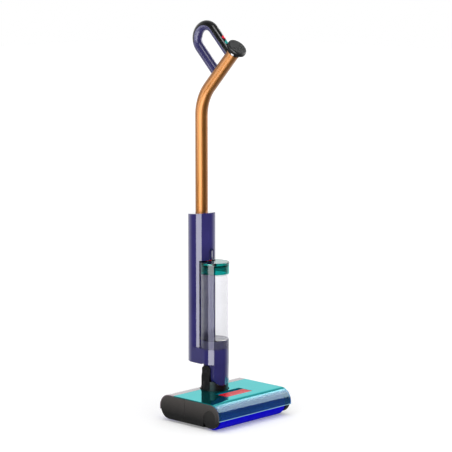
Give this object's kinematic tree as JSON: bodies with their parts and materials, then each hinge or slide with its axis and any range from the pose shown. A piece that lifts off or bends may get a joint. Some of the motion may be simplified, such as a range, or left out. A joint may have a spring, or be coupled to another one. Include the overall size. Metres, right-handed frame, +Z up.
{
  "type": "wet dry floor scrubber",
  "caption": "Upright cordless wet dry floor scrubber: twin-roller floor head, hinged neck, tube body with clear water tank, bent wand and loop handle.",
  "frame": {"origin": "on the floor, at the middle of the machine's overall footprint", "axes": "+X across the head, -Y the front, +Z up along the body"},
  "size_m": [0.3, 0.255, 1.1428],
  "materials": {
    "teal_clear": "glossy see-through teal",
    "grey_gloss": "glossy light grey",
    "cap_black": "fine satin charcoal",
    "black_plastic": "satin black",
    "inner_grey": "plain moulded",
    "red_plastic": "glossy red",
    "microfibre": "dense blue microfibre pile",
    "core_plastic": "moulded tube",
    "bristle": "nylon strips",
    "steel": "brushed",
    "motor_metal": "turned can",
    "rubber": "soft rubber",
    "tank_grey": "smoky clear",
    "mesh_grey": "moulded mesh",
    "indigo": "glossy indigo",
    "copper": "anodised copper tone",
    "clear": "clear glossy",
    "brass": "gold plated",
    "cell_wrap": "wrapped cells",
    "board_green": "circuit board",
    "hose": "soft tube",
    "lens": "smoked display glass",
    "teal_button": "glossy teal"
  },
  "bodies": {
    "head": {"head_chassis": "inner_grey", "rear_cover": "grey_gloss", "left_rear_cap": "cap_black", "right_front_cap": "cap_black", "cap_screws": "steel", "front_roller_motor": "motor_metal", "rear_roller_motor": "motor_metal", "front_drive_belt": "rubber", "rear_drive_belt": "rubber", "front_water_bar": "inner_grey", "rear_water_bar": "inner_grey", "front_extraction_plate": "steel", "rear_extraction_plate": "steel"},
    "front_cartridge": {"left_front_cap": "cap_black", "front_roller_disc": "cap_black"},
    "rear_cartridge": {"right_rear_cap": "cap_black", "rear_roller_disc": "cap_black"},
    "front_roller": {"front_roller_core": "core_plastic", "front_roller_sleeve": "microfibre", "front_roller_bearing": "brass"},
    "rear_roller": {"rear_roller_core": "core_plastic", "rear_roller_sleeve": "microfibre", "rear_roller_bearing": "brass"},
    "front_brush": {"front_brush_bar": "bristle"},
    "rear_brush": {"rear_brush_bar": "bristle"},
    "tank_drawer": {"top_cover": "teal_clear", "dirty_tank": "tank_grey", "debris_tray": "mesh_grey", "release_springs": "steel"},
    "release": {"release_tab": "red_plastic"},
    "neck": {"yoke": "black_plastic", "yoke_ring": "steel", "recline_pins": "steel"},
    "body": {"lower_housing": "indigo", "body_tube": "indigo", "body_top_cap": "indigo", "charge_contacts": "brass", "tank_socket": "rubber", "pivot_bushes": "brass", "battery_cells": "cell_wrap", "battery_frame": "inner_grey", "water_pump": "inner_grey", "water_hose": "hose", "control_board": "board_green", "wand_socket": "inner_grey", "wand_tube": "copper", "handle_loop": "indigo", "grip_cover": "black_plastic", "switch_board": "board_green", "display_housing": "black_plastic", "display_board": "board_green", "display_lens": "lens"},
    "water_tank": {"clean_tank": "clear", "tank_foot": "indigo", "tank_valve": "inner_grey"},
    "lid": {"tank_cap": "teal_clear", "cap_seal": "rubber"},
    "latch": {"tank_latch": "red_plastic"},
    "power": {"power_button": "red_plastic"},
    "mode": {"mode_button": "teal_button"}
  },
  "joints": [
    {"name": "front_roller_pull", "type": "slide", "parent": "head", "child": "front_cartridge", "axis": [-1, 0, 0], "range_m": [0, 0.28]},
    {"name": "rear_roller_pull", "type": "slide", "parent": "head", "child": "rear_cartridge", "axis": [1, 0, 0], "range_m": [0, 0.28]},
    {"name": "front_roller_spin", "type": "hinge", "parent": "front_cartridge", "child": "front_roller", "pos_m": [0, -0.0885, 0.0345], "axis": [1, 0, 0], "continuous": true},
    {"name": "rear_roller_spin", "type": "hinge", "parent": "rear_cartridge", "child": "rear_roller", "pos_m": [0, 0.0715, 0.0345], "axis": [1, 0, 0], "continuous": true},
    {"name": "front_brush_spin", "type": "hinge", "parent": "head", "child": "front_brush", "pos_m": [0, -0.04527, 0.05023], "axis": [1, 0, 0], "continuous": true},
    {"name": "rear_brush_spin", "type": "hinge", "parent": "head", "child": "rear_brush", "pos_m": [0, 0.02827, 0.05023], "axis": [1, 0, 0], "continuous": true},
    {"name": "tank_lift", "type": "slide", "parent": "head", "child": "tank_drawer", "axis": [0, 0, 1], "range_m": [0, 0.038]},
    {"name": "release_press", "type": "slide", "parent": "tank_drawer", "child": "release", "axis": [0, 0, -1], "range_m": [0, 0.0022], "stiffness_N_per_m": 900, "deforming": ["release_springs"]},
    {"name": "steer", "type": "hinge", "parent": "head", "child": "neck", "pos_m": [0, 0.0365, 0.0715], "axis": [0, 0, 1], "range_deg": [-30, 30]},
    {"name": "recline", "type": "hinge", "parent": "neck", "child": "body", "pos_m": [0, 0.0365, 0.134], "axis": [-1, 0, 0], "range_deg": [0, 45]},
    {"name": "tank_pull", "type": "slide", "parent": "body", "child": "water_tank", "axis": [0, -1, 0], "range_m": [0, 0.06]},
    {"name": "cap_turn", "type": "hinge", "parent": "water_tank", "child": "lid", "pos_m": [0, 0.0365, 0.435], "axis": [0, 0, 1], "range_deg": [0, 90]},
    {"name": "latch_press", "type": "slide", "parent": "lid", "child": "latch", "axis": [0, 0, -1], "range_m": [0, 0.0018], "stiffness_N_per_m": 700},
    {"name": "power_press", "type": "slide", "parent": "body", "child": "power", "axis": [0, 0.7193, -0.6947], "range_m": [0, 0.0012], "stiffness_N_per_m": 900},
    {"name": "mode_press", "type": "slide", "parent": "body", "child": "mode", "axis": [0, 0.7193, -0.6947], "range_m": [0, 0.0012], "stiffness_N_per_m": 900}
  ],
  "couplings": [
    {"joint": "front_brush_spin", "follows": "front_roller_spin", "ratio": 2.6667},
    {"joint": "rear_brush_spin", "follows": "rear_roller_spin", "ratio": 2.6667}
  ]
}
